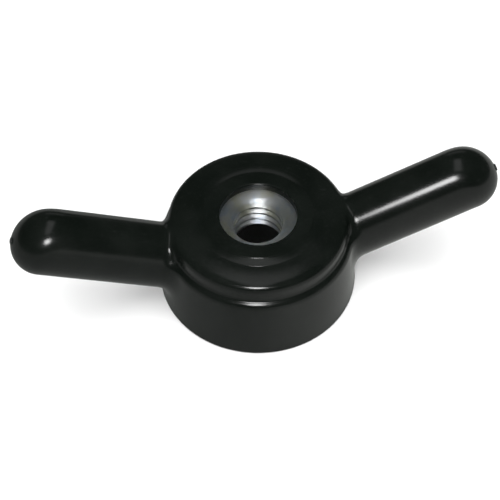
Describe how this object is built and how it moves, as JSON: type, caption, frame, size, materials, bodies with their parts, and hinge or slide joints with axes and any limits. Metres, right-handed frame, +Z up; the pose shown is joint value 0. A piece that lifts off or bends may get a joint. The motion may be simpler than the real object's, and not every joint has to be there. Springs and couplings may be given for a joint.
{
  "type": "wing nut",
  "caption": "Hand-turned nut: round moulded hub with rising, round-ended wings and a moulded-in steel hexagon nut under an open collar.",
  "frame": {"origin": "centre of the flat clamping face, on the axis of the thread", "axes": "+Z up along the thread axis towards the open end of the nut, +X along one wing, +Y across the wings"},
  "size_m": [0.1, 0.0412, 0.0284],
  "materials": {
    "black_plastic": "as moulded, semi-gloss",
    "zinc_plated_steel": "turned and bright zinc plated"
  },
  "bodies": {
    "root": {"moulded_body": "black_plastic", "threaded_insert": "zinc_plated_steel"}
  },
  "joints": []
}
